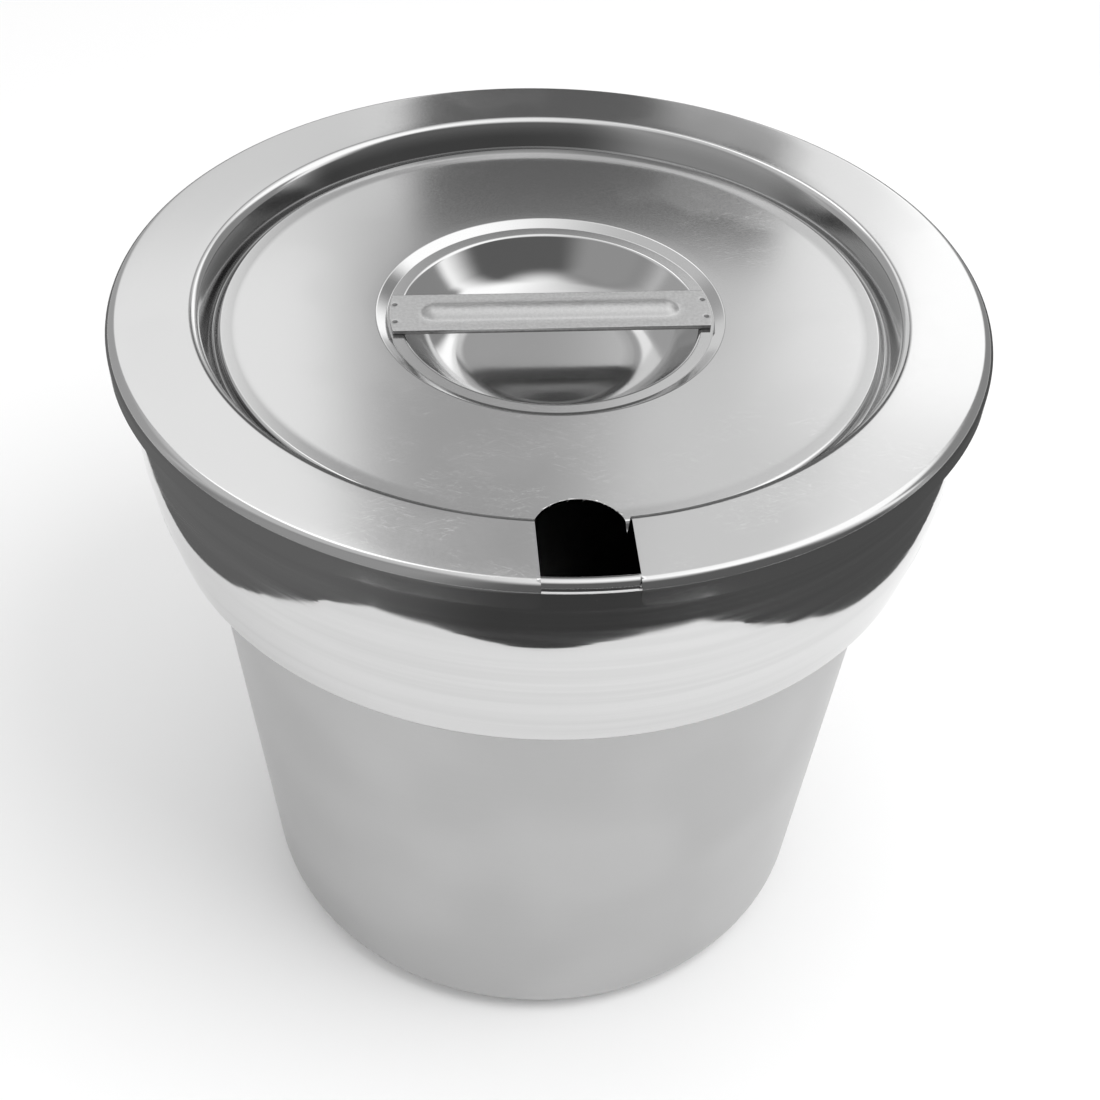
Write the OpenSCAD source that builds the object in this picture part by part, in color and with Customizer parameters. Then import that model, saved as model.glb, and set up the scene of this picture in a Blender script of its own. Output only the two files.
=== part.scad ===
// Covered soup kettle: a round pot that hangs by its shoulder in a heated well,
// and a loose cover with a sunken strap handle and a slot for the ladle.
//
// The origin is the centre of the base and +Z is up. The slot points along -Y
// and the strap lies along X. Diameters and heights of bent sheet are measured
// at the sharp corners that the sheet had if it weren't rounded.

/* [Overall] */
// Height from the base to the top of the cover
overall_h = 218; // [212:1:226]
// Thickness of the steel sheet of pot and cover
sheet = 0.7; // [0.5:0.1:0.8]
// Gap between the pot's rim and the cover that rests on it
rest_gap = 0.1; // [0.05:0.05:0.3]

/* [Pot] */
// Diameter of the base
base_d = 180; // [170:1:186]
// Bend radius between base and wall
base_bend = 12; // [8:1:16]
// Diameter of the tapered wall where it meets the shoulder
wall_top_d = 204.6; // [200:0.2:208]
// Bend radius between wall and shoulder
wall_top_bend = 1.5; // [1:0.5:2.5]
// Height of the flat seat under the shoulder
shoulder_z = 154.5; // [150:0.5:158]
// Diameter of the crease around the seat
crease_d = 221.6; // [219:0.2:223]
// Bend radius of the crease
crease_bend = 3; // [1.5:0.5:3]
// Lean of the shoulder's lower side from upright
shoulder_lean = 16.2; // [15:0.2:17]
// Bend radius of the shoulder's bulge
shoulder_bend = 128; // [90:1:128]
// Lean of the shoulder's upper side from upright
neck_lean = 1.5; // [1:0.1:2]
// Outer diameter of the rolled rim
rim_d = 238.5; // [237:0.1:239]
// Diameter of the rim's rolled tube
rim_tube = 4; // [3.5:0.1:4.5]

/* [Cover] */
// Outer diameter of the cover
cover_d = 242; // [241:0.5:244]
// Height of the skirt
skirt_h = 6.9; // [5:0.1:9]
// Bend radius on both sides of the flat ring
ring_bend = 3; // [2:0.5:4]
// Inner diameter of the flat ring
ring_inner_d = 193.8; // [192:0.2:196]
// Diameter of the groove inside the ring
groove_d = 186.2; // [185.6:0.2:187]
// Depth of the groove
groove_depth = 10.5; // [10:0.1:11]
// Bend radius in the groove
groove_bend = 0.8; // [0.5:0.1:0.9]
// Diameter of the sunken disc
disc_d = 183.2; // [182.6:0.2:184]
// Depth of the disc's turned-up edge
disc_edge_depth = 6.7; // [6.4:0.1:6.9]
// Diameter at which the disc starts to turn up
disc_flat_d = 168; // [150:1:175]
// Depth of the disc
disc_depth = 7.2; // [7:0.1:7.6]
// Bend radius of the disc's two edges
disc_bend = 1.2; // [1:0.1:1.3]
// Diameter of the step down around the dish, at its top
step_top_d = 97.2; // [96:0.2:100]
// Diameter of the step at its foot
step_foot_d = 91.2; // [90.6:0.2:92]
// Bend radius at the step's foot
step_foot_bend = 0.6; // [0.3:0.1:0.8]
// Depth of the ledge inside the step
ledge_depth = 8.7; // [8.4:0.1:9]
// Diameter of the dish at its mouth
dish_mouth_d = 83.6; // [82:0.2:84]
// Bend radius at the dish's mouth
dish_mouth_bend = 1.5; // [1:0.1:1.6]
// Diameter of the dish at its bottom
dish_floor_d = 63; // [56:1:66]
// Bend radius around the dish's bottom
dish_floor_bend = 16; // [8:1:20]
// Depth of the dish
dish_depth = 21; // [19:0.5:24]

/* [Ladle slot] */
// Width of the slot
slot_w = 22.8; // [18:0.2:26]
// Distance from the cover's centre to the slot's round end
slot_reach = 82; // [78:0.5:84]
// Rounding of the skirt's corners beside the slot
slot_corner = 2.2; // [1:0.1:3]

/* [Handle strap] */
// Length of the strap, over its rounded ends
strap_l = 89.6; // [88:0.2:90]
// Width of the strap
strap_w = 17.5; // [14:0.5:20]
// Thickness of the strap
strap_t = 1.2; // [1.1:0.1:1.6]
// Length of the pressed-up rib
rib_l = 72; // [60:1:76]
// Width of the rib
rib_w = 8; // [6:0.5:9]
// Height of the rib above the strap
rib_h = 1.4; // [1:0.1:1.6]

/* [Spot welds] */
// Distance from the cover's centre to each pair of welds
weld_x = 43.4; // [43.3:0.1:43.5]
// Distance between the two welds of a pair
weld_spacing = 8.4; // [7:0.2:10]
// Diameter of a weld nugget
weld_d = 2; // [1.6:0.1:2]
// Height of a weld nugget
weld_h = 0.5; // [0.3:0.1:0.5]
// Radius of the welding tip that leaves a dent over each nugget
dent_r = 1.2; // [1:0.1:1.5]
// Depth of the dent
dent_depth = 0.35; // [0.2:0.05:0.35]

/* [Hidden] */
$fn = 96;

bend_step = 8;                            // degrees between two points of a bend
past = 1;                                 // how far a cutter runs past a face
rim_r_in = rim_tube / 2 - sheet;          // inside the rolled tube
rim_z = overall_h - sheet - rest_gap - rim_tube / 2;
rim_end = -100;                           // direction in which the roll ends, degrees
strap_z = overall_h - ledge_depth;        // underside of the strap
strap_top = strap_z + strap_t;
rib_r = (pow(rib_w / 2, 2) + pow(rib_h, 2)) / (2 * rib_h);
slot_end_y = -(slot_reach + slot_w / 2);  // centre of the slot's round end

// ---- bent sheet ---------------------------------------------------------
// A path is a list of corners [radius, height, bend radius]. The sheet follows
// one face of the path, and its other face is the same path moved sideways.

function unit(v) = v / norm(v);
function corner(p) = [p[0], p[1]];
function turned(v, a) = [v[0] * cos(a) - v[1] * sin(a), v[0] * sin(a) + v[1] * cos(a)];
function left_of(a, b) = turned(unit(b - a), 90);
function reversed(list) = [for (i = [len(list) - 1:-1:0]) list[i]];

// The path moved to its left by t, with every bend kept concentric.
function moved(path, t) = let (last = len(path) - 1) [
    for (i = [0:last])
        let (
            here = corner(path[i]),
            after = i < last ? left_of(here, corner(path[i + 1])) : left_of(corner(path[i - 1]), here),
            before = i > 0 ? left_of(corner(path[i - 1]), here) : after
        )
        concat(
            here + t * (before + after) / (1 + before * after),
            path[i][2] - sign(cross(before, after)) * t
        )
];

// The points of the bend of radius r at corner b, between corners a and c.
function bend(a, b, c, r) =
    let (
        u = unit(b - a),
        v = unit(c - b),
        turn = atan2(cross(u, v), u * v),
        start = b - u * r * tan(abs(turn) / 2),
        centre = start + sign(turn) * r * turned(u, 90),
        steps = max(2, ceil(abs(turn) / bend_step))
    )
    [for (k = [0:steps]) centre + turned(start - centre, turn * k / steps)];

// The path with all its corners bent.
function bent(path) = let (last = len(path) - 1) concat(
    [corner(path[0])],
    [for (i = [1:last - 1])
        each bend(corner(path[i - 1]), corner(path[i]), corner(path[i + 1]), path[i][2])],
    [corner(path[last])]
);

// ---- pot ------------------------------------------------------------------

rim_r = rim_d / 2 - rim_tube / 2;
rim_centre = [rim_r, rim_z];
rim_start = rim_centre + rim_r_in * [cos(180 + neck_lean), sin(180 + neck_lean)];

// Corner where the shoulder's lower and upper sides would meet.
bulge_z = (rim_start[0] - crease_d / 2 + shoulder_z * tan(shoulder_lean) + rim_start[1] * tan(neck_lean))
    / (tan(shoulder_lean) + tan(neck_lean));
bulge_r = crease_d / 2 + (bulge_z - shoulder_z) * tan(shoulder_lean);

pot_path = [
    [0, 0, 0],
    [base_d / 2, 0, base_bend],
    [wall_top_d / 2, shoulder_z, wall_top_bend],
    [crease_d / 2, shoulder_z, crease_bend],
    [bulge_r, bulge_z, shoulder_bend],
    [rim_start[0], rim_start[1], 0]
];

// The roll of the rim: over the top, down outside and back in underneath.
function rim_roll(r) =
    let (
        start = 180 + neck_lean,
        steps = ceil((start - rim_end) / (2 * bend_step))
    )
    [for (k = [1:steps]) rim_centre + turned([r, 0], start + (rim_end - start) * k / steps)];

module pot() {
    outside = concat(bent(pot_path), rim_roll(rim_r_in));
    inside = concat(bent(moved(pot_path, sheet)), rim_roll(rim_r_in + sheet));
    color("silver")
        rotate_extrude()
            polygon(concat(outside, reversed(inside)));
}

// ---- cover ----------------------------------------------------------------

function down(depth) = overall_h - depth;

lid_path = [
    [0, down(dish_depth), 0],
    [dish_floor_d / 2, down(dish_depth), dish_floor_bend],
    [dish_mouth_d / 2, down(ledge_depth), dish_mouth_bend],
    [step_foot_d / 2, down(ledge_depth), step_foot_bend],
    [step_top_d / 2, down(disc_depth), disc_bend],
    [disc_flat_d / 2, down(disc_depth), disc_bend],
    [disc_d / 2, down(disc_edge_depth), disc_bend],
    [groove_d / 2, down(groove_depth), groove_bend],
    [ring_inner_d / 2, down(0), ring_bend],
    [cover_d / 2, down(0), ring_bend],
    [cover_d / 2, down(skirt_h), 0]
];

// The ladle slot, open through the skirt.
module slot() {
    slot_bottom = down(groove_depth + sheet + past);
    slot_depth = overall_h + past - slot_bottom;
    translate([0, 0, slot_bottom])
        linear_extrude(slot_depth)
            union() {
                translate([0, slot_end_y])
                    circle(d = slot_w);
                translate([-slot_w / 2, -cover_d / 2 - past])
                    square([slot_w, slot_end_y + cover_d / 2 + past]);
            }
}

// What rounding removes from the skirt's corner on the +X side of the slot.
module skirt_corner_cut() {
    skirt_bottom = down(skirt_h);
    depth = cover_d / 2 - (ring_inner_d + cover_d) / 4;
    translate([slot_w / 2, -cover_d / 2 - past, skirt_bottom])
        rotate([-90, 0, 0])
            mirror([0, 1, 0])
                linear_extrude(depth)
                    difference() {
                        translate([-past, -past])
                            square(slot_corner + past);
                        translate([slot_corner, slot_corner])
                            circle(r = slot_corner);
                    }
}

module lid() {
    upper = bent(lid_path);
    lower = bent(moved(lid_path, -sheet));
    color("gainsboro")
        difference() {
            rotate_extrude()
                polygon(concat(upper, reversed(lower)));
            slot();
            skirt_corner_cut();
            mirror([1, 0, 0])
                skirt_corner_cut();
        }
}

// ---- strap handle ----------------------------------------------------------

// A bar of circular section with round ends, which shapes the rib.
module rib_bar(r) {
    reach = (rib_l - rib_w) / 2;
    translate([0, 0, strap_top + rib_h - rib_r])
        union() {
            translate([-reach, 0, 0])
                rotate([0, 90, 0])
                    cylinder(r = r, h = 2 * reach);
            translate([-reach, 0, 0])
                sphere(r = r);
            translate([reach, 0, 0])
                sphere(r = r);
        }
}

module at_welds() {
    for (x = [-weld_x, weld_x], y = [-weld_spacing / 2, weld_spacing / 2])
        translate([x, y, 0])
            children();
}

module strap_blank() {
    intersection() {
        translate([-strap_l / 2, -strap_w / 2, strap_z])
            cube([strap_l, strap_w, strap_t]);
        translate([0, 0, strap_z])
            cylinder(d = strap_l, h = strap_t);
    }
}

module handle_strap() {
    color("darkgray")
        difference() {
            union() {
                strap_blank();
                intersection() {
                    rib_bar(rib_r);
                    translate([-rib_l / 2, -rib_w / 2, strap_z])
                        cube([rib_l, rib_w, strap_t + rib_h + past]);
                }
            }
            rib_bar(rib_r - strap_t);
            at_welds()
                translate([0, 0, strap_z])
                    cylinder(d = weld_d, h = weld_h);
            at_welds()
                translate([0, 0, strap_top - dent_depth + dent_r])
                    sphere(r = dent_r);
        }
}

module spot_welds() {
    color("dimgray")
        at_welds()
            translate([0, 0, strap_z])
                cylinder(d = weld_d, h = weld_h);
}

pot();
lid();
handle_strap();
spot_welds();
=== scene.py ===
# %% [markdown]
# A soup kettle in stainless steel: a deep round pot that hangs by its shoulder
# in a heated well, a loose cover with a slot for the ladle, and a flat strap
# welded across a dish in the cover, so that fingers reach under it.
#
# The frame gives the real size and the joint that lifts the cover. Each piece
# is made again here with cleaner surfaces, because bright steel shows every
# facet of its mesh.

# %% Load the frame
import bmesh
import bpy
import math
from mathutils import Matrix, Vector


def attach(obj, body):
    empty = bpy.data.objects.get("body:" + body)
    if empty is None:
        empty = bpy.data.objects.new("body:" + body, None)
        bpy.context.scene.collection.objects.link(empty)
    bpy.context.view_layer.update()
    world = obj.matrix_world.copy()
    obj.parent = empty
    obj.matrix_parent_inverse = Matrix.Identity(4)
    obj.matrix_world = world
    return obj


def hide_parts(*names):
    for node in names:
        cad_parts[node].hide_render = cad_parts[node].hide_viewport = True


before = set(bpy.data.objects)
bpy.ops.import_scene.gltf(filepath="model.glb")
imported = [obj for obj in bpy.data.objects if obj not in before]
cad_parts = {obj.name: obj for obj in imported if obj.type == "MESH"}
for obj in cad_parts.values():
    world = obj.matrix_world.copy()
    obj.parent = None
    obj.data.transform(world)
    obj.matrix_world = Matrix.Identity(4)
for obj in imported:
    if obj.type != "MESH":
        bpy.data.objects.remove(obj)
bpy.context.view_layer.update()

# %% [markdown]
# The kettle is seen from above and a little to the left of its slot, from
# close by, so the cover looks large and the body narrows towards the floor.
# The camera's place is given in metres, and its turn as pan, tilt and roll,
# because those three are how a person would aim a real camera.

# %% Camera
PAN, TILT, ROLL = math.radians(-5.8), math.radians(48.02), math.radians(2.237)

camera = bpy.data.objects.new("camera", bpy.data.cameras.new("camera"))
camera.data.sensor_width = 36
camera.data.lens = 54.56
camera.data.clip_start, camera.data.clip_end = 0.01, 20
aim = Matrix.Rotation(PAN, 4, "Z") @ Matrix.Rotation(TILT, 4, "X") @ Matrix.Rotation(ROLL, 4, "Z")
camera.matrix_world = Matrix.Translation((-0.03713, -0.38929, 0.47229)) @ aim
bpy.context.scene.collection.objects.link(camera)
bpy.context.scene.camera = camera
print("camera, mm from the base:", [round(1000 * v) for v in camera.location])

# %% [markdown]
# Pot and cover are each pressed from one flat sheet. A pressed sheet is easiest
# to describe by its section: the corners that it would have if it were folded
# sharply, with a bend radius for each. A pen draws the section as a wire. Its
# straight runs are extruded from the last vertex, and its bends are the same
# vertex spun about the centre of the bend, so that each is a true arc.

# %% The section pen
MM = 0.001
LONGEST = 4.0 * MM          # longest straight step, which keeps the shading even
BEND_STEP = math.radians(9)  # angle between two steps of a bend


def run_to(bm, tip, end):
    """Draws a straight run from the tip to the end, in short steps."""
    way = end - tip.co
    steps = math.ceil(way.length / LONGEST)
    for _ in range(steps if way.length > 0.01 * MM else 0):
        tip = bmesh.ops.extrude_vert_indiv(bm, verts=[tip])["verts"][0]
        bmesh.ops.translate(bm, verts=[tip], vec=way / steps)
    return tip


def bend_round(bm, tip, centre, turn):
    """Draws an arc from the tip about the centre. A turn to the left is positive."""
    steps = max(3, math.ceil(abs(turn) / BEND_STEP))
    swept = bmesh.ops.spin(bm, geom=[tip], cent=centre, axis=(0, -1, 0), dvec=(0, 0, 0),
                           angle=turn, steps=steps, use_merge=False)
    return next(v for v in swept["geom_last"] if isinstance(v, bmesh.types.BMVert))


def draw_section(bm, path):
    """Draws corners (radius, height, bend) in millimetres, and returns the last vertex."""
    corners = [Vector((r, 0, z)) * MM for r, z, _ in path]
    tip = bm.verts.new(corners[0])
    for before, here, after, (_, _, bend) in zip(corners, corners[1:], corners[2:], path[1:]):
        into, out = (here - before).normalized(), (after - here).normalized()
        turn = math.atan2(into.x * out.z - into.z * out.x, into.dot(out))
        side = math.copysign(bend * MM, turn)
        start = here - into * abs(side) * math.tan(abs(turn) / 2)
        tip = run_to(bm, tip, start)
        tip = bend_round(bm, tip, start + side * Vector((-into.z, 0, into.x)), turn)
    return run_to(bm, tip, corners[-1])


print("pen: runs of", round(LONGEST / MM), "mm, bends in steps of",
      round(math.degrees(BEND_STEP)), "degrees")

# %% [markdown]
# The section is then turned once round the axis, as on a spinning lathe. The
# full turn closes on itself, and the vertices that pile up on the axis are
# merged into one, so the middle of the base and of the dish is closed. A
# Solidify modifier gives the sheet its thickness on the side away from the
# drawn face, and a very small Bevel rounds the cut edges, which on real sheet
# catch the light as thin bright lines.

# %% From section to sheet
AROUND = 240                # steps of the full turn
MERGE = 0.002 * MM          # vertices closer than this are one


def turn_section(bm, drawn_side_up):
    """Turns the wire into a sheet. Its faces look up, or down and outwards."""
    bmesh.ops.spin(bm, geom=bm.verts[:] + bm.edges[:], cent=(0, 0, 0), axis=(0, 0, 1),
                   dvec=(0, 0, 0), angle=math.tau, steps=AROUND, use_merge=True)
    bmesh.ops.remove_doubles(bm, verts=bm.verts[:], dist=MERGE)
    bmesh.ops.recalc_face_normals(bm, faces=bm.faces[:])
    pole = min(bm.faces, key=lambda f: f.calc_center_median().xy.length)
    if (pole.normal.z > 0) != drawn_side_up:
        bmesh.ops.reverse_faces(bm, faces=bm.faces[:])
    open_edges = sum(e.is_boundary for e in bm.edges)
    print("sheet:", len(bm.faces), "faces, open edges", open_edges)


print("a section is turned in", AROUND, "steps")

# %% [markdown]
# A finished piece rides on a body, so that it moves with the joint, and the
# plain CAD node that it stands for is hidden. The thickness and the rounded
# edges stay modifiers, so that the drawn face is easy to check before they are
# added.

# %% Making a piece
SHEET = 0.7 * MM
CUT_EDGE = 0.12 * MM
SHARP = math.radians(50)    # edges that turn by more than this are cut edges


def make_piece(name, bm, body, node):
    """Makes a mesh object that replaces a CAD node and rides on its body."""
    mesh = bpy.data.meshes.new(name)
    bm.to_mesh(mesh)
    bm.free()
    mesh.shade_smooth()
    piece = bpy.data.objects.new(name, mesh)
    bpy.context.scene.collection.objects.link(piece)
    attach(piece, body)
    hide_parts(node)
    return piece


def round_cut_edges(piece, width):
    """Rounds the piece's sharp edges, and keeps its broad faces' shading flat."""
    bevel = piece.modifiers.new("cut edges", "BEVEL")
    bevel.width, bevel.segments = width, 2
    bevel.limit_method, bevel.angle_limit = "ANGLE", SHARP
    piece.modifiers.new("even shading", "WEIGHTED_NORMAL").keep_sharp = True


def thicken(piece):
    """Gives a sheet its thickness behind the face that was drawn."""
    solid = piece.modifiers.new("sheet thickness", "SOLIDIFY")
    solid.thickness, solid.offset = SHEET, -1
    solid.use_even_offset = True
    round_cut_edges(piece, CUT_EDGE)


print("sheet", round(SHEET / MM, 2), "mm thick, edges rounded by", round(CUT_EDGE / MM, 2), "mm")

# %% [markdown]
# The pot is deep-drawn. Its body tapers, so that pots nest and a pot slides
# into its well. Above it the sheet steps out to a flat seat, then bulges into
# the shoulder, and ends in a rim rolled outwards over itself so that no cut
# edge is left where a hand or a ladle goes. The outside face is drawn, because
# it is the one that shows, and the thickness goes inwards.

# %% Pot
RIM_TURN = math.radians(181.5 + 100)
RIM_CENTRE = Vector((117.25, 0, 215.2)) * MM
RIM_START = Vector((115.95, 215.166))  # where the roll begins

SEAT = 154.5                # height of the flat ring that hangs in the well

POT_SECTION = [
    (0, 0, 0), (90, 0, 12), (102.3, SEAT, 1.5), (110.8, SEAT, 3),
    (116.98, 175.77, 127.6), (*RIM_START, 0)]

pot_bm = bmesh.new()
rim_tip = draw_section(pot_bm, POT_SECTION)
bend_round(pot_bm, rim_tip, RIM_CENTRE, -RIM_TURN)
turn_section(pot_bm, drawn_side_up=False)
pot = make_piece("pot_shell", pot_bm, "pot", "pot")
thicken(pot)
print("pot:", len(pot.data.polygons), "faces before it is thickened")

# %% [markdown]
# The cover is pressed from one disc as well. From the middle outwards it has
# the dish for the fingers, a ledge that carries the strap, the broad sunken
# disc, a groove, the flat ring that rests on the rim, and a short skirt that
# keeps the cover from sliding off. Here the upper face is drawn.

# %% Cover
TOP = 218.0
LID_SECTION = [(r, TOP - depth, bend) for r, depth, bend in [
    (0, 21, 0), (31.5, 21, 16), (41.8, 8.7, 1.5), (45.6, 8.7, 0.6), (48.6, 7.2, 1.2),
    (87, 7.2, 40), (91.6, 6.95, 1.2), (93.1, 10.5, 0.8), (96.9, 0, 3), (121, 0, 3),
    (121, 6.9, 0)]]

lid_bm = bmesh.new()
draw_section(lid_bm, LID_SECTION)
turn_section(lid_bm, drawn_side_up=True)
print("cover:", len(LID_SECTION), "corners in its section")

# %% [markdown]
# The ladle slot is punched out of the cover: straight sides, a round end, and
# open through the skirt, whose corners are rounded. A boolean would leave a
# tangle of slivers at its edge. Instead the sheet is cut by one plane after
# another, and each cut is made only in the faces that are still inside the
# slot, so that the mesh outside it keeps its clean rows.

# %% Ladle slot
SLOT_HALF = 11.4 * MM
SLOT_END = -93.4 * MM       # centre of the round end
SLOT_FACETS = 28
CORNER = 2.2 * MM
SKIRT_FOOT = (TOP - 6.9) * MM


def cut_away(bm, faces, planes):
    """Removes the part of these faces that lies behind every plane (point, normal)."""
    inside = list(faces)
    for point, normal in planes:
        parts = {e for f in inside for e in f.edges} | {v for f in inside for v in f.verts}
        cut = bmesh.ops.bisect_plane(bm, geom=inside + list(parts), dist=0.001 * MM,
                                     plane_co=point, plane_no=normal)
        inside = [f for f in cut["geom"] if isinstance(f, bmesh.types.BMFace)
                  and (f.calc_center_median() - point).dot(normal) < 0]
    bmesh.ops.delete(bm, geom=inside, context="FACES")


def faces_near(bm, test):
    """The faces whose middle passes the test."""
    return [f for f in bm.faces if test(f.calc_center_median())]


slot_planes = [(Vector((s * SLOT_HALF, 0, 0)), Vector((s, 0, 0))) for s in (-1, 1)]
for k in range(SLOT_FACETS):
    angle = math.pi * (k + 0.5) / SLOT_FACETS
    out = Vector((math.cos(angle), math.sin(angle), 0))
    slot_planes.append((Vector((0, SLOT_END, 0)) + SLOT_HALF * out, out))
cut_away(lid_bm, faces_near(lid_bm, lambda p: abs(p.x) < 2 * SLOT_HALF and p.y < -75 * MM),
         slot_planes)
print("slot:", round(2 * SLOT_HALF / MM, 1), "mm wide,", len(slot_planes), "cuts")

# %% [markdown]
# Where the slot opens through the skirt, the two lower corners are cut round,
# so that they don't catch a cloth or a finger. They are cut in the same way,
# by a short row of planes round a quarter of a circle.

# %% Rounded corners of the skirt
CORNER_CUTS = 6

for s in (-1, 1):
    centre = Vector((s * (SLOT_HALF + CORNER), 0, SKIRT_FOOT + CORNER))
    for k in range(CORNER_CUTS):
        angle = math.pi / 2 * (k + 0.5) / CORNER_CUTS
        out = Vector((-s * math.cos(angle), 0, -math.sin(angle)))
        skirt = faces_near(lid_bm, lambda p: p.y < -115 * MM and abs(p.x) < 2 * SLOT_HALF
                           and p.x * s > 0 and p.z < SKIRT_FOOT + 2 * CORNER)
        cut_away(lid_bm, skirt, [(centre + CORNER * out, -out)])

lid = make_piece("cover_shell", lid_bm, "lid", "lid")
thicken(lid)
print("cover:", len(lid.data.polygons), "faces before it is thickened")

# %% [markdown]
# The strap is stiffened by a rib that was pressed up from below, and each spot
# weld left the print of the welding tip. Both are heights over a flat bar: the
# rib is the top of a round bar laid in the strap, with balls for its ends, and
# the print is a small ball turned upside down.

# %% Heights of the strap
STRAP_R, STRAP_HALF_W = 44.8 * MM, 8.75 * MM
STRAP_UNDER, STRAP_TOP = 209.3 * MM, 210.5 * MM
RIB_REACH, RIB_R, RIB_H = 32 * MM, 6.414 * MM, 1.4 * MM
RIB_SOFT = 0.4 * MM
WELD_X, WELD_Y, TIP_R, DENT = 43.4 * MM, 4.2 * MM, 1.2 * MM, 0.35 * MM


def cap(distance, radius, height):
    """Height of a ball or bar of this radius that stands this high, at a distance from its middle."""
    if distance >= radius:
        return -height
    return math.sqrt(radius ** 2 - distance ** 2) - (radius - height)


def rib_lift(p, radius):
    """Height of the rib over the strap, with a softly rounded foot."""
    past_end = max(abs(p.x) - RIB_REACH, 0)
    lift = cap(math.hypot(past_end, p.y), radius, RIB_H)
    return (lift + math.hypot(lift, RIB_SOFT)) / 2


def dent(p):
    """Depth of the weld print at this point."""
    return max(0, cap(math.hypot(abs(p.x) - WELD_X, abs(p.y) - WELD_Y), TIP_R, DENT))


print("rib, mm high:", round(rib_lift(Vector((0, 0, 0)), RIB_R) / MM, 2))

# %% [markdown]
# The strap itself is a plain flat bar, cut to fit the round ledge. A fine grid
# is trimmed to its outline, each end by a few planes along the ledge's circle,
# and extruded to make its underside. Then only the heights of its vertices
# change, so the outline stays true.

# %% Strap
END_CUTS = [math.radians(2.6 * k) for k in range(-4, 5)]
END_REACH = 3 * MM          # how far in from the tip the ends are cut

strap_bm = bmesh.new()
bmesh.ops.create_grid(strap_bm, x_segments=256, y_segments=50, size=1)
bmesh.ops.scale(strap_bm, verts=strap_bm.verts[:], vec=(STRAP_R, STRAP_HALF_W, 1))
for s in (-1, 1):
    for angle in END_CUTS:
        out = Vector((s * math.cos(angle), math.sin(angle), 0))
        end = faces_near(strap_bm, lambda p: p.x * s > STRAP_R - END_REACH)
        cut_away(strap_bm, end, [(STRAP_R * out, -out)])

upper = strap_bm.verts[:]
swept = bmesh.ops.extrude_face_region(strap_bm, geom=strap_bm.faces[:], use_keep_orig=True)
lower = [v for v in swept["geom"] if isinstance(v, bmesh.types.BMVert)]
for v in upper:
    v.co.z = STRAP_TOP + rib_lift(v.co, RIB_R) - dent(v.co)
for v in lower:
    v.co.z = STRAP_UNDER + rib_lift(v.co, RIB_R - (STRAP_TOP - STRAP_UNDER))
bmesh.ops.recalc_face_normals(strap_bm, faces=strap_bm.faces[:])
strap = make_piece("strap_bar", strap_bm, "lid", "handle_strap")
round_cut_edges(strap, CUT_EDGE)
print("strap:", len(strap.data.polygons), "faces")

# %% [markdown]
# All four pieces are stainless steel, and steel has almost no colour of its
# own: what tells one finish from another is how sharply it mirrors the room
# and which fine marks break that mirror. So the materials share a few shader
# groups for those marks, each built once, and differ in how much they use.

# %% Node helpers
def add_node(tree, kind, at, inputs=(), **settings):
    """Adds a node. Each input is a value, or another node's output to join to it."""
    made = tree.nodes.new("ShaderNode" + kind)
    made.location = at
    for name, value in settings.items():
        setattr(made, name, value)
    for name, value in dict(inputs).items():
        if isinstance(value, bpy.types.NodeSocket):
            tree.links.new(value, made.inputs[name])
        else:
            made.inputs[name].default_value = value
    return made


def maths(tree, at, operation, *values):
    """A Math node's output."""
    return add_node(tree, "Math", at, enumerate(values), operation=operation).outputs[0]


def fade(tree, at, value, start, end, low=0.0, high=1.0):
    """Goes smoothly from low to high as the value goes from start to end."""
    return add_node(tree, "MapRange", at, {
        "Value": value, "From Min": start, "From Max": end, "To Min": low, "To Max": high,
    }, interpolation_type="SMOOTHSTEP").outputs["Result"]


def new_group(name, inputs, outputs):
    """Starts a shader group with named inputs (name, kind, default) and outputs (name, kind)."""
    group = bpy.data.node_groups.new(name, "ShaderNodeTree")
    for label, kind, default in inputs:
        socket = group.interface.new_socket(label, in_out="INPUT", socket_type="NodeSocket" + kind)
        if default is not None:
            socket.default_value = default
    for label, kind in outputs:
        group.interface.new_socket(label, in_out="OUTPUT", socket_type="NodeSocket" + kind)
    start = group.nodes.new("NodeGroupInput")
    end = group.nodes.new("NodeGroupOutput")
    start.location, end.location = (-900, 0), (900, 0)
    return group, start.outputs, end.inputs


print("materials so far:", len(bpy.data.materials))


# %% [markdown]
# Cold-rolled sheet is not quite smooth. At arm's length it shows a fine
# speckle, and over a hand's breadth it is a little wavy, so that reflections
# bend. One group gives both as values round a half: the speckle for a Bump node
# and the roughness, and the wave for broad patches in a finish.

# %% Shader group: rolled sheet
sheet_group, given, result = new_group("rolled sheet", [
    ("Place", "Vector", None), ("Speckle Size", "Float", 0.7), ("Wave Size", "Float", 60.0)],
    [("Speckle", "Float"), ("Wave", "Float")])
for name, row, detail in (("Speckle", 200, 3.0), ("Wave", -200, 1.0)):
    scale = maths(sheet_group, (-500, row), "DIVIDE", 1000.0, given[name + " Size"])
    noise = add_node(sheet_group, "TexNoise", (-250, row), {
        "Vector": given["Place"], "Scale": scale, "Detail": detail, "Roughness": 0.6})
    sheet_group.links.new(noise.outputs["Fac"], result[name])
print("rolled sheet:", len(sheet_group.nodes), "nodes")

# %% [markdown]
# Years of stacking and wiping leave short hairline scratches that lie in all
# directions. A scratch is a contour line of a stretched noise, kept only where
# a second, coarser noise allows it, so the lines come short and in patches.

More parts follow.
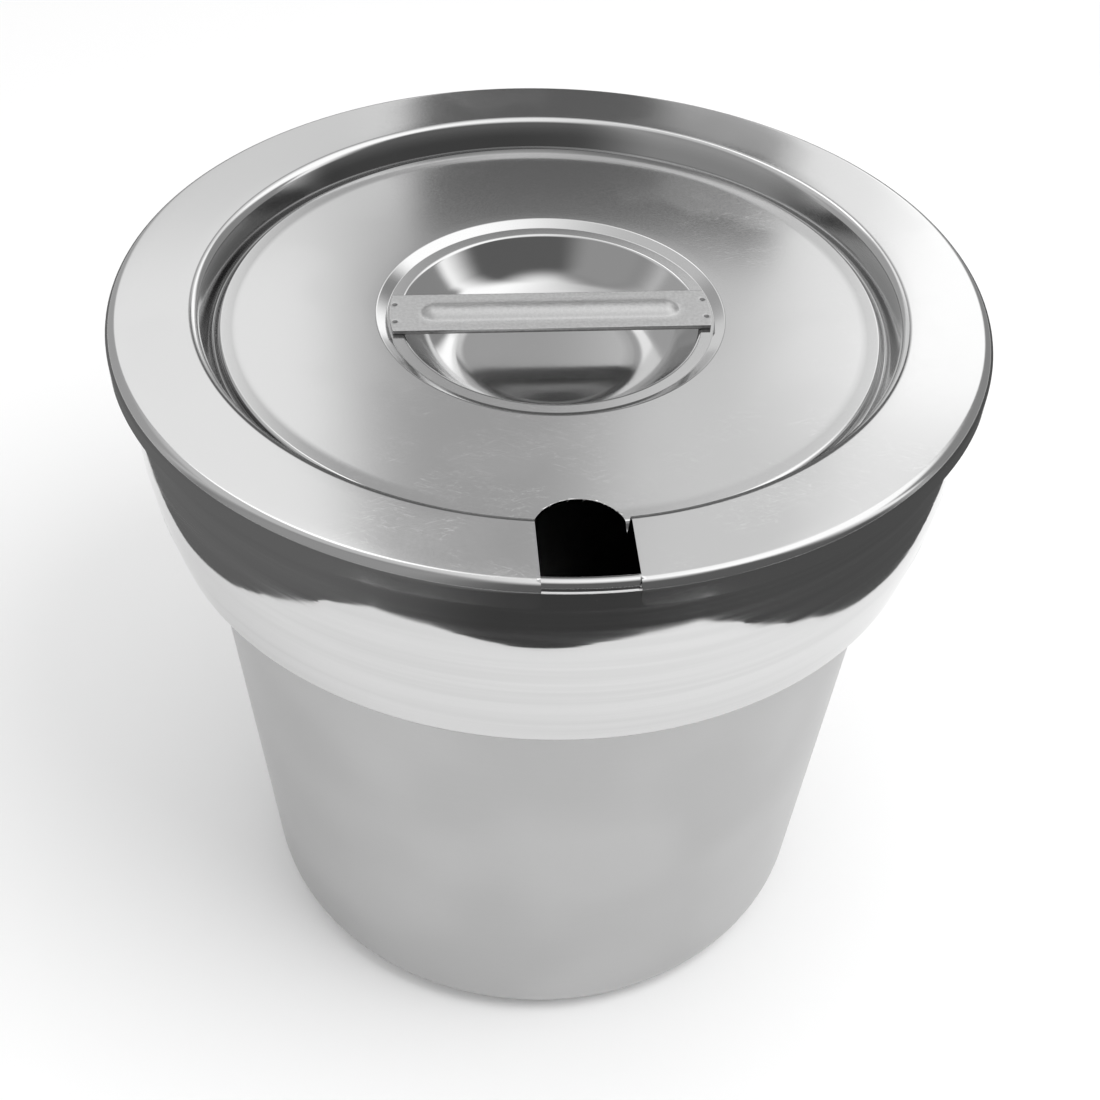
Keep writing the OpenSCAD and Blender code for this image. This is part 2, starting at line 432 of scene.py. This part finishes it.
# %% Shader group: hairline scratches
scratch_group, given, result = new_group("hairline scratches", [
    ("Place", "Vector", None), ("Turn", "Float", 0.0), ("Spacing", "Float", 5.0),
    ("Amount", "Float", 0.5)], [("Scratch", "Float")])
lay = add_node(scratch_group, "VectorRotate", (-650, 100), {
    "Vector": given["Place"], "Angle": given["Turn"]}, rotation_type="Z_AXIS")
pull = add_node(scratch_group, "Mapping", (-450, 100), {
    "Vector": lay.outputs["Vector"], "Scale": (0.12, 1.0, 1.0)})
scale = maths(scratch_group, (-450, -150), "DIVIDE", 1000.0, given["Spacing"])
lines = add_node(scratch_group, "TexNoise", (-250, 100), {
    "Vector": pull.outputs["Vector"], "Scale": scale, "Detail": 2.0})
patches = add_node(scratch_group, "TexNoise", (-250, -150), {
    "Vector": given["Place"], "Scale": 70.0, "Detail": 2.0})
off_line = maths(scratch_group, (0, 100), "ABSOLUTE",
                 maths(scratch_group, (-80, 100), "SUBTRACT", lines.outputs["Fac"], 0.5))
thin = fade(scratch_group, (150, 100), off_line, 0.012, 0.0)
least = maths(scratch_group, (0, -150), "SUBTRACT", 0.75, maths(
    scratch_group, (-80, -250), "MULTIPLY", given["Amount"], 0.35))
here = add_node(scratch_group, "MapRange", (150, -150), {
    "Value": patches.outputs["Fac"], "From Min": least,
    "From Max": maths(scratch_group, (80, -250), "ADD", least, 0.08)})
scratch_group.links.new(maths(scratch_group, (400, 0), "MULTIPLY", thin, here.outputs["Result"]),
                        result["Scratch"])
print("hairline scratches:", len(scratch_group.nodes), "nodes")

# %% [markdown]
# The pot was polished on the lathe, with the cloth held still while the pot
# turned, so its marks run round it. They are read from the height and the
# distance to the axis alone, stretched far along the circle by leaving out the
# angle but for a slow drift.

# %% Shader group: polishing lines
lathe_group, given, result = new_group("polishing lines", [
    ("Place", "Vector", None), ("Line Width", "Float", 0.4)], [("Lines", "Float")])
split = add_node(lathe_group, "SeparateXYZ", (-700, 0), {"Vector": given["Place"]})
flat = add_node(lathe_group, "VectorMath", (-700, -200), {
    0: given["Place"], 1: (1, 1, 0)}, operation="MULTIPLY")
away = add_node(lathe_group, "VectorMath", (-500, -200), {0: flat.outputs[0]}, operation="LENGTH")
drift = add_node(lathe_group, "VectorMath", (-500, -350), {
    0: flat.outputs[0], 1: (0.02, 0.02, 0)}, operation="MULTIPLY")
upright = add_node(lathe_group, "CombineXYZ", (-300, 0), {
    "X": away.outputs["Value"], "Z": split.outputs["Z"]})
along = add_node(lathe_group, "VectorMath", (-100, 0), {
    0: upright.outputs[0], 1: drift.outputs[0]}, operation="ADD")
scale = maths(lathe_group, (-100, -200), "DIVIDE", 1000.0, given["Line Width"])
lines = add_node(lathe_group, "TexNoise", (100, 0), {
    "Vector": along.outputs[0], "Scale": scale, "Detail": 3.0, "Roughness": 0.7})
lathe_group.links.new(lines.outputs["Fac"], result["Lines"])
print("polishing lines:", len(lathe_group.nodes), "nodes")

# %% [markdown]
# A material is a Principled shader with Metallic at 1, and everything on it is
# read from the place on the object, so that the marks stay where they are when
# the cover is lifted. Two helpers start a material and place a group in it,
# and a third turns a height into a normal with a depth in millimetres.

# %% Material helpers
STEEL_GREY = (0.62, 0.62, 0.62, 1)


def new_steel(name):
    """Starts a steel material. Returns it, its tree, its shader and the place on the object."""
    steel = bpy.data.materials.new(name)
    steel.use_nodes = True
    tree = steel.node_tree
    shader = tree.nodes["Principled BSDF"]
    shader.inputs["Metallic"].default_value = 1.0
    place = add_node(tree, "TexCoord", (-1500, 0)).outputs["Object"]
    return steel, tree, shader, place


def place_group(tree, group, at, inputs):
    """Places a shader group with these inputs. Returns its outputs."""
    return add_node(tree, "Group", at, inputs, node_tree=group).outputs


def bump(tree, at, height, depth_mm):
    """The normal for a height from 0 to 1 that is this deep."""
    return add_node(tree, "Bump", at, {
        "Height": height, "Distance": depth_mm * MM, "Strength": 1.0}).outputs["Normal"]


def grey(tree, at, level):
    """A grey colour of this level."""
    return add_node(tree, "CombineColor", at, {
        "Red": level, "Green": level, "Blue": level}).outputs[0]


print("steel grey:", STEEL_GREY[0])

# %% [markdown]
# Distance from the axis tells the parts of a turned piece from each other, as
# the groove from the ring beside it. It is worked out from the place by
# dropping the height and taking the length.

# %% Shader group: distance from the axis
radius_group, given, result = new_group("distance from the axis", [
    ("Place", "Vector", None)], [
        ("Radius", "Float"), ("Height", "Float"), ("Side", "Float"), ("Depth", "Float")])
flat = add_node(radius_group, "VectorMath", (-500, 100), {
    0: given["Place"], 1: (1, 1, 0)}, operation="MULTIPLY")
radius = add_node(radius_group, "VectorMath", (-250, 100), {0: flat.outputs[0]}, operation="LENGTH")
split = add_node(radius_group, "SeparateXYZ", (-500, -100), {"Vector": given["Place"]})
radius_group.links.new(radius.outputs["Value"], result["Radius"])
radius_group.links.new(split.outputs["Z"], result["Height"])
radius_group.links.new(split.outputs["X"], result["Side"])
radius_group.links.new(split.outputs["Y"], result["Depth"])
print("groups:", [g.name for g in bpy.data.node_groups])

# %% [markdown]
# The cover is a fine satin that still mirrors the room, a little softly. The
# hairline scratches lie mostly where hands and cloths go, on the disc and the
# ring at the front right, and they show as short pale marks because they
# scatter the light. A few larger dull patches are left by drying water.

# %% Material: cover
SKIRT_LINE, SKIRT_EDGE = 118.5 * MM, 119.5 * MM    # the scratches end at the skirt

cover_steel, tree, shader, place = new_steel("cover satin")
rolled = place_group(tree, sheet_group, (-1200, 200), {"Place": place, "Wave Size": 34.0})
where = place_group(tree, radius_group, (-1200, 600), {"Place": place})
across = place_group(tree, scratch_group, (-1200, -150), {
    "Place": place, "Turn": 0.5, "Spacing": 1.3, "Amount": 0.95})
slanted = place_group(tree, scratch_group, (-1200, -400), {
    "Place": place, "Turn": -0.35, "Spacing": 1.7, "Amount": 0.8})
scratched = maths(tree, (-950, -250), "MAXIMUM", across["Scratch"], slanted["Scratch"])
toward_front = maths(tree, (-1050, -50), "SUBTRACT", where["Side"], where["Depth"])
used = fade(tree, (-900, -50), toward_front, -0.05, 0.09, 0.15, 1.0)
used = maths(tree, (-800, -100), "MULTIPLY", used,
             fade(tree, (-950, 0), where["Radius"], SKIRT_EDGE, SKIRT_LINE))
scratched = maths(tree, (-700, -200), "MULTIPLY", scratched, used)
patch = fade(tree, (-950, 300), rolled["Wave"], 0.52, 0.68, 0.0, 0.035)
rough = maths(tree, (-600, 250), "ADD", patch,
              fade(tree, (-950, 150), rolled["Speckle"], 0.2, 0.8, 0.085, 0.12))
rough = maths(tree, (-400, 200), "ADD", rough,
              maths(tree, (-600, 0), "MULTIPLY", scratched, 0.1))
tree.links.new(rough, shader.inputs["Roughness"])
print("cover:", len(tree.nodes), "nodes so far")

# %% [markdown]
# The groove is painted darker: a painted shade in the recess, darker on the
# left. It is found by its distance from the axis, and it fades out below the
# ring. What is left of the cover keeps the grey of the steel, a little paler in a
# scratch.

# %% Painted shade in the cover's groove
GROOVE_SHADE_STARTS, GROOVE_SHADE_FULL = 91.4 * MM, 92.0 * MM      # on the groove's inner wall
GROOVE_SHADE_THINS, GROOVE_SHADE_ENDS = 95.0 * MM, 96.8 * MM       # on its outer wall
GROOVE_SHADE_LINE, GROOVE_SHADE_TOP = 215.5 * MM, 217.2 * MM       # and up towards the ring

in_groove = maths(tree, (-700, 700), "MULTIPLY",
                  fade(tree, (-900, 800), where["Radius"], GROOVE_SHADE_STARTS, GROOVE_SHADE_FULL),
                  fade(tree, (-900, 650), where["Radius"], GROOVE_SHADE_ENDS, GROOVE_SHADE_THINS))
in_groove = maths(tree, (-500, 600), "MULTIPLY", in_groove,
                  fade(tree, (-700, 500), where["Height"], GROOVE_SHADE_TOP, GROOVE_SHADE_LINE))
# painted shade: the groove's colour is darkened, more on the left than on the right
groove_shade = fade(tree, (-700, 350), where["Side"], -0.01, 0.05, 0.3, 0.5)
bare = fade(tree, (-500, 450), scratched, 0, 1, STEEL_GREY[0], 0.66)
shade = add_node(tree, "Mix", (-300, 600), {"Factor": in_groove, "A": bare, "B": groove_shade})
tree.links.new(grey(tree, (-100, 500), shade.outputs["Result"]), shader.inputs["Base Color"])
relief = maths(tree, (-500, -250), "SUBTRACT", rolled["Speckle"],
               maths(tree, (-600, -350), "MULTIPLY", scratched, 0.25))
tree.links.new(bump(tree, (-300, -300), relief, 0.002), shader.inputs["Normal"])
lid.data.materials.append(cover_steel)
print("cover:", len(tree.nodes), "nodes")

# %% [markdown]
# Two finishes meet at the seat. The shoulder and the rim were polished to a
# mirror, and the body below was only brushed to a satin. The same group of
# lines that run round the pot marks both: broad and soft on the mirror, where
# they smear a reflection sideways and shade it a little, and fine and very
# faint on the body.

# %% Material: pot
SATIN_TOP = SEAT * MM + 0.4 * MM   # the polish stops just above the seat

pot_steel, tree, shader, place = new_steel("pot polished and satin")
fine = place_group(tree, lathe_group, (-1200, 0), {"Place": place, "Line Width": 0.5})["Lines"]
broad = place_group(tree, lathe_group, (-1200, -250), {"Place": place, "Line Width": 5.0})["Lines"]
rolled = place_group(tree, sheet_group, (-1200, -500), {"Place": place, "Wave Size": 55.0})
where = place_group(tree, radius_group, (-1200, 400), {"Place": place})
body = fade(tree, (-900, 400), where["Height"], SATIN_TOP, SEAT * MM)
mirror_rough = fade(tree, (-900, 200), broad, 0.35, 0.7, 0.03, 0.12)
satin_rough = fade(tree, (-900, 0), fine, 0.25, 0.75, 0.28, 0.32)
rough = add_node(tree, "Mix", (-600, 150), {"Factor": body, "A": mirror_rough, "B": satin_rough})
tree.links.new(rough.outputs["Result"], shader.inputs["Roughness"])
satin = maths(tree, (-700, 600), "ADD", fade(tree, (-900, 700), fine, 0.25, 0.75, 0.465, 0.475),
              fade(tree, (-900, 550), rolled["Wave"], 0.35, 0.65, -0.02, 0.02))
mirror = fade(tree, (-700, 450), broad, 0.35, 0.65, 0.59, 0.645)
shade = add_node(tree, "Mix", (-500, 600), {"Factor": body, "A": mirror, "B": satin})
tree.links.new(grey(tree, (-300, 500), shade.outputs["Result"]), shader.inputs["Base Color"])
relief = add_node(tree, "Mix", (-600, -200), {"Factor": body, "A": broad, "B": maths(
    tree, (-750, -300), "MULTIPLY", fine, 0.04)}).outputs["Result"]
tree.links.new(bump(tree, (-300, -300), relief, 0.01), shader.inputs["Normal"])
pot.data.materials.append(pot_steel)
print("pot:", len(tree.nodes), "nodes")

# %% [markdown]
# The strap was never polished. It keeps the mill's dull, grainy skin, with
# coarser grains than the cover's. Under the tip of the welder the steel turned
# dark. The underside is painted darker as well: a painted shade under the strap,
# which hangs over the dish.

# %% Material: strap
BURNT_R, BURNT_FADE = 0.6 * MM, 0.95 * MM
UNDER_SHADE_FULL, UNDER_SHADE_ENDS = STRAP_UNDER + 0.1 * MM, STRAP_UNDER + 0.3 * MM

strap_steel, tree, shader, place = new_steel("strap mill finish")
rolled = place_group(tree, sheet_group, (-1200, 200), {"Place": place, "Speckle Size": 0.9})
rough = fade(tree, (-500, 200), rolled["Speckle"], 0.2, 0.8, 0.34, 0.5)
tree.links.new(rough, shader.inputs["Roughness"])
apart = add_node(tree, "VectorMath", (-1200, 600), {0: place}, operation="ABSOLUTE")
beside = add_node(tree, "VectorMath", (-1050, 600), {
    0: apart.outputs[0], 1: (WELD_X, WELD_Y, 0)}, operation="SUBTRACT")
from_weld = place_group(tree, radius_group, (-900, 600), {"Place": beside.outputs[0]})["Radius"]
burnt = fade(tree, (-700, 600), from_weld, BURNT_FADE, BURNT_R)
height = add_node(tree, "SeparateXYZ", (-900, 400), {"Vector": place}).outputs["Z"]
# painted shade: the strap's underside and the foot of its edges are darkened in colour
under_shade = fade(tree, (-700, 400), height, UNDER_SHADE_ENDS, UNDER_SHADE_FULL)
burn_and_under_shade = maths(tree, (-500, 500), "MAXIMUM", burnt, under_shade)
shade = maths(tree, (-300, 400), "MULTIPLY",
              fade(tree, (-500, 0), rolled["Speckle"], 0.3, 0.75, 0.5, 0.6),
              fade(tree, (-400, 300), burn_and_under_shade, 0, 1, 1, 0.35))
tree.links.new(grey(tree, (-100, 300), shade), shader.inputs["Base Color"])
tree.links.new(bump(tree, (-300, -300), rolled["Speckle"], 0.008), shader.inputs["Normal"])
strap.data.materials.append(strap_steel)
print("strap:", len(tree.nodes), "nodes")

# %% [markdown]
# The weld nuggets are only seen from below, between strap and ledge. They keep
# the CAD shape, and get the brownish, dull skin of steel that was melted and
# never cleaned.

# %% Material: welds
weld_steel, tree, shader, place = new_steel("weld nugget")
rolled = place_group(tree, sheet_group, (-1000, 200), {"Place": place})
rough = fade(tree, (-500, 200), rolled["Speckle"], 0.2, 0.8, 0.35, 0.5)
tree.links.new(rough, shader.inputs["Roughness"])
shader.inputs["Base Color"].default_value = (0.4, 0.39, 0.38, 1)
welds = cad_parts["spot_welds"]
welds.data.materials.clear()
welds.data.materials.append(weld_steel)
print("welds:", len(tree.nodes), "nodes")

# %% [markdown]
# The kettle stands on a plain pale floor, wide enough that its edge lies far
# from the kettle. It is matt, with no shine of its own, so that it only takes
# the soft shadow at the foot of the pot.

# %% Floor
FLOOR_HALF = 4.0
FLOOR_PALE = 0.93

floor_bm = bmesh.new()
bmesh.ops.create_grid(floor_bm, x_segments=1, y_segments=1, size=FLOOR_HALF)
floor_mesh = bpy.data.meshes.new("floor")
floor_bm.to_mesh(floor_mesh)
floor_bm.free()
floor = bpy.data.objects.new("floor", floor_mesh)
bpy.context.scene.collection.objects.link(floor)
pale = bpy.data.materials.new("floor pale")
pale.use_nodes = True
paint = pale.node_tree.nodes["Principled BSDF"].inputs
paint["Base Color"].default_value = (FLOOR_PALE, FLOOR_PALE, FLOOR_PALE, 1)
paint["Roughness"].default_value = 0.9
paint["Specular IOR Level"].default_value = 0.0
floor.data.materials.append(pale)
print("floor:", 2 * FLOOR_HALF, "m across")

# %% [markdown]
# Polished steel needs something dark to mirror, or it looks like white paint. On
# a pale mat in a darker room, it is the room that draws the broad dark band
# along the shoulder. A card with a hole
# in the shape of the mat does that here: it lies just above the floor, and
# only mirrored rays meet it, so the floor itself still looks pale. The card
# glows a little more towards the left, where the room was lighter.

# %% Dark card round the mat
MAT = [(-0.244, 0.30), (-0.241, -0.10), (-0.226, -0.20), (-0.201, -0.264), (-0.13, -0.292),
       (0.13, -0.292), (0.195, -0.268), (0.217, -0.19), (0.238, -0.10), (0.241, 0.30)]
CARD_HALF, CARD_LIFT = 3.0, 0.0005

card_bm = bmesh.new()
bmesh.ops.create_grid(card_bm, x_segments=1, y_segments=1, size=CARD_HALF)
hem = []
for (x0, y0), (x1, y1) in zip(MAT, MAT[1:] + MAT[:1]):
    hem.append((Vector((x0, y0, 0)), Vector((y1 - y0, x0 - x1, 0)).normalized()))
cut_away(card_bm, card_bm.faces[:], hem)
bmesh.ops.rotate(card_bm, verts=card_bm.verts[:], cent=(0, 0, 0), matrix=Matrix.Rotation(PAN, 3, "Z"))
bmesh.ops.translate(card_bm, verts=card_bm.verts[:], vec=(0, 0, CARD_LIFT))
card_mesh = bpy.data.meshes.new("dark card")
card_bm.to_mesh(card_mesh)
card_bm.free()
card = bpy.data.objects.new("dark_card", card_mesh)
bpy.context.scene.collection.objects.link(card)
for ray in ("camera", "diffuse", "shadow", "transmission", "volume_scatter"):
    setattr(card, "visible_" + ray, False)
print("card:", len(card_mesh.polygons), "faces round the mat")

# %% [markdown]
# The card's own faint light stands for the room beyond the mat. It is a plain
# Emission shader whose strength changes from side to side.

# %% Material: dark card
dark = bpy.data.materials.new("card dark")
dark.use_nodes = True
tree = dark.node_tree
tree.nodes.clear()
corner_of_room = add_node(tree, "TexCoord", (-800, 0)).outputs["Object"]
side = add_node(tree, "SeparateXYZ", (-600, 0), {"Vector": corner_of_room}).outputs["X"]
glow = maths(tree, (-100, 0), "ADD", fade(tree, (-300, 100), side, -0.08, -0.30, 0.065, 0.17),
             fade(tree, (-300, -100), side, 0.05, 0.25, 0.0, 0.04))
shine = add_node(tree, "Emission", (100, 0), {"Color": (1, 1, 1, 1), "Strength": glow})
tree.links.new(shine.outputs[0], add_node(tree, "OutputMaterial", (300, 0)).inputs["Surface"])
card.data.materials.append(dark)
print("card material:", dark.name)

# %% [markdown]
# The rest of the room is painted on the world as soft-edged windows, given by
# their direction in degrees: an azimuth, where 0 is straight behind the kettle
# as the camera looks and the right is positive, and an elevation. One group
# paints one window over what is behind it, and only mirrored rays see them.

# %% Shader group: soft window
def inside_edge(tree, at, value, border, soft, sign):
    """1 on the inner side of the border and 0 outside, over a soft edge."""
    depth = maths(tree, at, "MULTIPLY", maths(
        tree, (at[0] - 150, at[1]), "SUBTRACT", value, border), sign)
    return add_node(tree, "MapRange", (at[0] + 150, at[1]), {
        "Value": depth, "From Min": maths(tree, (at[0], at[1] - 60), "MULTIPLY", soft, -0.5),
        "From Max": maths(tree, (at[0], at[1] - 90), "MULTIPLY", soft, 0.5),
    }, interpolation_type="SMOOTHSTEP").outputs["Result"]


window_group, given, result = new_group("soft window", [
    ("Across", "Float", 0), ("Up", "Float", 0), ("Left", "Float", 0), ("Right", "Float", 0),
    ("Foot", "Float", 0), ("Head", "Float", 0), ("Soft", "Float", 4), ("Level", "Float", 1),
    ("Behind", "Float", 1)], [("Light", "Float")])
mask = 1.0
for row, (direction, border, sign) in enumerate([
        ("Across", "Left", 1), ("Across", "Right", -1), ("Up", "Foot", 1), ("Up", "Head", -1)]):
    mask = maths(window_group, (300 + 120 * row, 0), "MULTIPLY", mask, inside_edge(
        window_group, (-200, 300 - 150 * row), given[direction], given[border],
        given["Soft"], sign))
blend = add_node(window_group, "Mix", (750, 200), {
    "Factor": mask, "A": given["Behind"], "B": given["Level"]})
window_group.links.new(blend.outputs["Result"], result["Light"])
print("window inputs:", [s.name for s in given[:-1]])

# %% [markdown]
# The direction of a ray is turned by the camera's pan, so that the room stays
# square to the view, and split into the two angles. Overhead the room grows
# brighter from left to right. A side of the room is given by the size of the
# azimuth alone, because what is behind the camera is nearly the same on both.

# %% Directions in the room
world = bpy.data.worlds.new("studio")
bpy.context.scene.world = world
world.use_nodes = True
tree = world.node_tree
tree.nodes.clear()
way = add_node(tree, "TexCoord", (-1800, 0)).outputs["Generated"]
way = add_node(tree, "VectorRotate", (-1600, 0), {"Vector": way, "Angle": -PAN},
               rotation_type="Z_AXIS").outputs["Vector"]
parts = add_node(tree, "SeparateXYZ", (-1400, 0), {"Vector": way}).outputs
azimuth = maths(tree, (-1000, 100), "DEGREES", maths(
    tree, (-1200, 100), "ARCTAN2", parts["X"], parts["Y"]))
elevation = maths(tree, (-1000, -100), "DEGREES", maths(
    tree, (-1200, -100), "ARCSINE", parts["Z"]))
sideways = maths(tree, (-800, 100), "ABSOLUTE", azimuth)
overhead = fade(tree, (-800, 450), parts["X"], -0.35, 0.35, 0.75, 1.6)
print("room turned by", round(math.degrees(-PAN), 1), "degrees")

# %% [markdown]
# Each row below is one window or one dark wall, painted in this order. The
# first rows are the wall low down and the bright panels to both sides of a
# gap behind the kettle. The dark ones are the gap itself, the sides of the
# room, and last the dark half of the room behind the camera, with a lighter
# part on its left.

# %% World
WINDOWS = [  # across, left, right, foot, head, soft, level
    (azimuth, -400, 400, -90, 20, 10, 0.6),
    (azimuth, -24, -7.0, 12, 52, 3, 1.2),
    (azimuth, -24, -7.0, 12, 31, 3, 0.92),
    (azimuth, -30, -5.5, 43.5, 60, 3, 1.9),
    (azimuth, 8.5, 24, 12, 52, 1.5, 1.2),
    (azimuth, 13, 26, 12, 36, 3, 1.6),
    (azimuth, -8.2, 8.8, 31, 54, 4, 0.85),
    (azimuth, -8.2, 2, 31, 46, 6, 0.5),
    (azimuth, 4, 12, 36.5, 60, 4, 0.9),
    (azimuth, -5.8, 8.4, 0, 31.6, 1.5, 0.15),
    (azimuth, 3.6, 8.4, 0, 28.4, 1.5, 0.55),
    (azimuth, 24, 80, 0, 40, 10, 0.35),
    (azimuth, -80, -26, 0, 40, 10, 0.5),
    (sideways, 95, 300, -90, 24, 16, 0.08),
    (sideways, 95, 300, -90, 72, 34, 0.15),
    (azimuth, -160, -95, -90, 72, 30, 0.42),
]
PLAIN_LIGHT = 0.95          # what lights the floor and is seen behind everything

room = overhead
for row, (across, left, right, foot, head, soft, level) in enumerate(WINDOWS):
    room = place_group(tree, window_group, (-400, 300 - 150 * row), {
        "Across": across, "Up": elevation, "Left": left, "Right": right, "Foot": foot,
        "Head": head, "Soft": soft, "Level": level, "Behind": room})["Light"]
mirrored = add_node(tree, "LightPath", (0, 300)).outputs["Is Glossy Ray"]
seen = add_node(tree, "Mix", (100, 0), {"Factor": mirrored, "A": PLAIN_LIGHT, "B": room})
light = add_node(tree, "Background", (300, 0), {
    "Color": (1, 1, 1, 1), "Strength": seen.outputs["Result"]})
tree.links.new(light.outputs[0], add_node(tree, "OutputWorld", (500, 0)).inputs["Surface"])
bpy.context.scene.view_settings.view_transform = "Standard"
print("world:", len(WINDOWS), "windows")

# %% [markdown]
# One large round soft box stands high on the right, a little nearer the camera
# than the pot is, so that the soft shadow falls to the left and back. Polished
# steel would show it as a hard white disc, so mirrored rays pass it by and see
# the painted room instead.

# %% Key light
KEY_SIDE, KEY_UP, KEY_FAR = math.radians(125) - PAN, math.radians(62), 1.2

key = bpy.data.objects.new("soft box", bpy.data.lights.new("soft box", "AREA"))
key.data.shape, key.data.size = "DISK", 0.6
key.data.energy = 5.2
key.location = KEY_FAR * Vector((
    math.sin(KEY_SIDE) * math.cos(KEY_UP), math.cos(KEY_SIDE) * math.cos(KEY_UP),
    math.sin(KEY_UP)))
key.rotation_euler = key.location.to_track_quat("Z", "Y").to_euler()
key.visible_glossy = False
bpy.context.scene.collection.objects.link(key)
print("soft box at, mm:", [round(1000 * v) for v in key.location])
